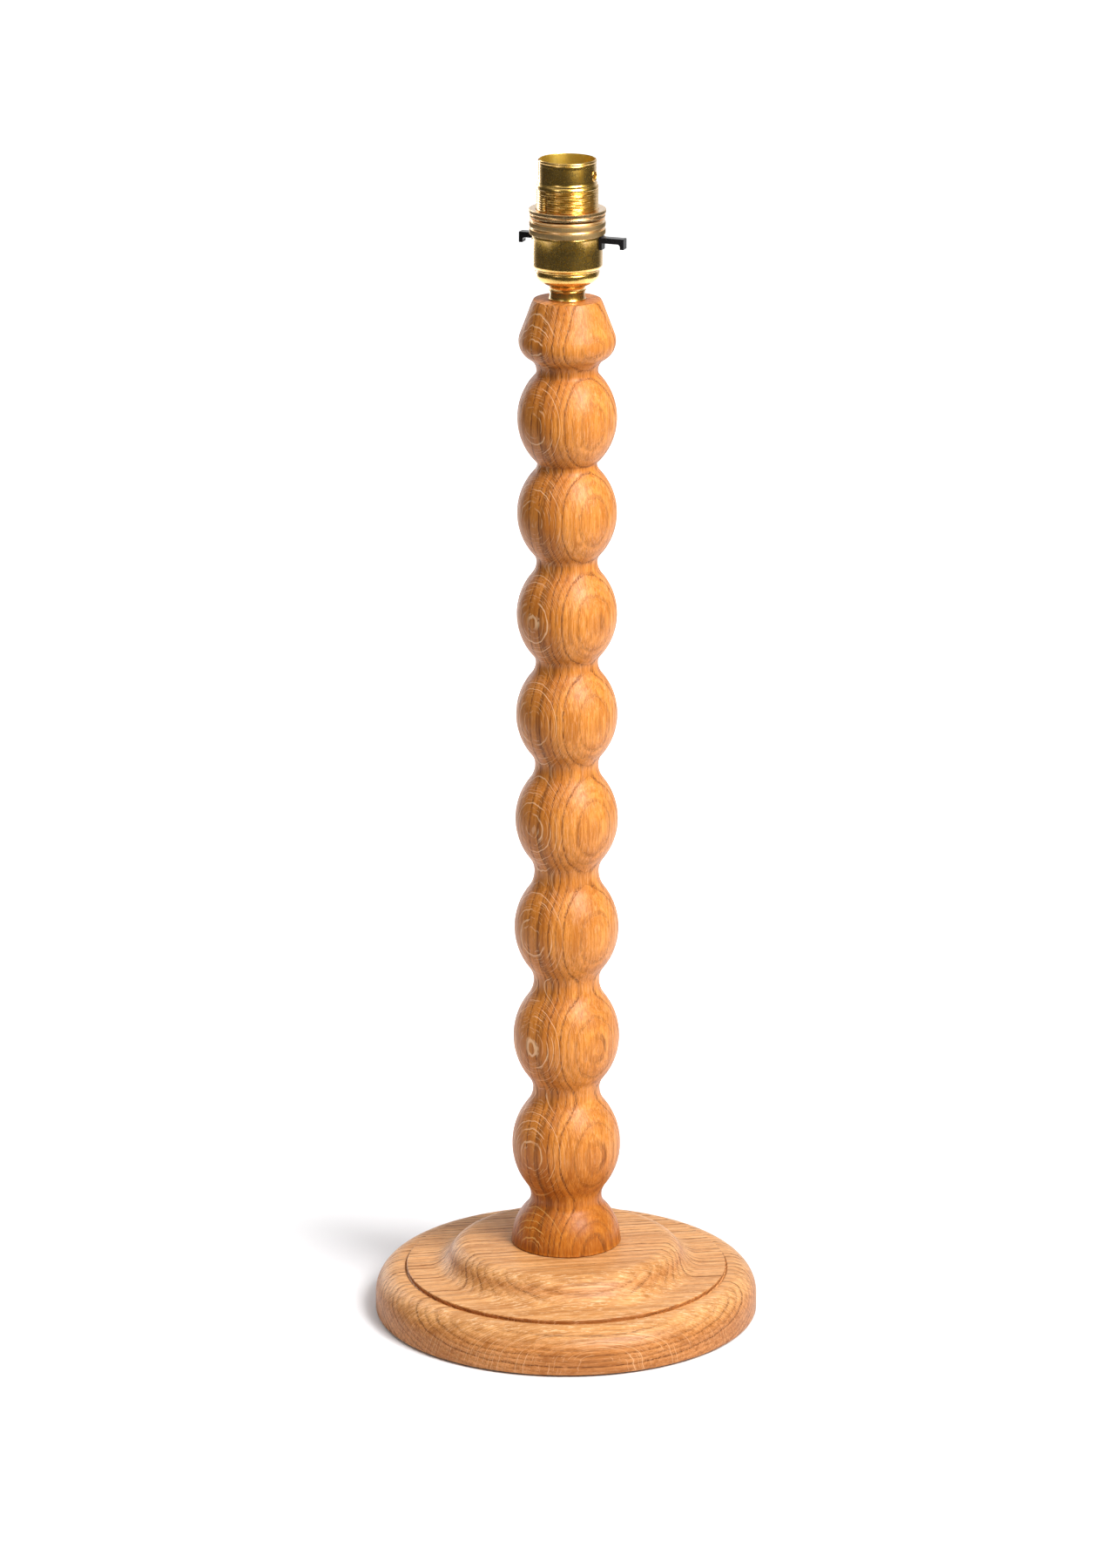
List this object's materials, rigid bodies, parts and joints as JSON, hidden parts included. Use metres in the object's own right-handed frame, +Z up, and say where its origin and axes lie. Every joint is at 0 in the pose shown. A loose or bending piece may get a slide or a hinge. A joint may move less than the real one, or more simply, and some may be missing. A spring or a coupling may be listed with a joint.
{
  "type": "table lamp base",
  "caption": "Turned oak bobbin column on a round stepped base, topped by a brass bayonet lampholder with a push-bar switch and shade ring.",
  "frame": {"origin": "centre of the underside of the felt pad, on the table", "axes": "+Z up along the column, -Y to the front, the cable inlet at +Y"},
  "size_m": [0.1792, 0.1792, 0.549],
  "materials": {
    "oak_base": "satin waxed oak, yellow-tan",
    "oak_column": "satin waxed oak, orange-brown",
    "felt": "dark felt",
    "brass_shell": "polished pressed brass",
    "brass_rings": "polished turned and knurled brass",
    "brass_inner": "plain brass",
    "switch_black": "glossy black phenolic",
    "phenolic_brown": "moulded brown phenolic",
    "insulator_cream": "moulded cream insulator",
    "spring_steel": "bright spring wire"
  },
  "bodies": {
    "root": {"base": "oak_base", "column": "oak_column", "base_felt": "felt", "wood_nipple": "brass_inner", "entry_bush": "brass_shell", "holder_cup": "brass_shell", "locking_ring": "brass_rings", "barrel": "brass_shell", "interior_block": "phenolic_brown", "plunger_guide": "insulator_cream", "spring_live": "spring_steel", "spring_neutral": "spring_steel", "terminal_live": "brass_inner", "terminal_neutral": "brass_inner", "terminal_screws": "brass_inner", "switch_studs": "brass_inner", "earth_tab": "brass_inner", "earth_screw": "brass_inner", "cord_grip": "insulator_cream", "cord_grip_screws": "spring_steel"},
    "switch": {"switch_bar": "switch_black", "switch_contact": "brass_inner"},
    "live_plunger": {"plunger_live": "brass_inner"},
    "neutral_plunger": {"plunger_neutral": "brass_inner"},
    "shade_ring": {"shade_ring": "brass_rings"}
  },
  "joints": [
    {"name": "switch_push", "type": "slide", "parent": "root", "child": "switch", "axis": [0.9336, -0.3584, 0], "range_m": [-0.005, 0]},
    {"name": "live_plunger_press", "type": "slide", "parent": "root", "child": "live_plunger", "axis": [0, 0, -1], "range_m": [0, 0.0035], "stiffness_N_per_m": 1200, "springref_m": -0.001, "deforming": ["spring_live"]},
    {"name": "neutral_plunger_press", "type": "slide", "parent": "root", "child": "neutral_plunger", "axis": [0, 0, -1], "range_m": [0, 0.0035], "stiffness_N_per_m": 1200, "springref_m": -0.001, "deforming": ["spring_neutral"]},
    {"name": "shade_ring_travel", "type": "slide", "parent": "root", "child": "shade_ring", "axis": [0, 0, 1], "range_m": [0, 0.01]}
  ]
}
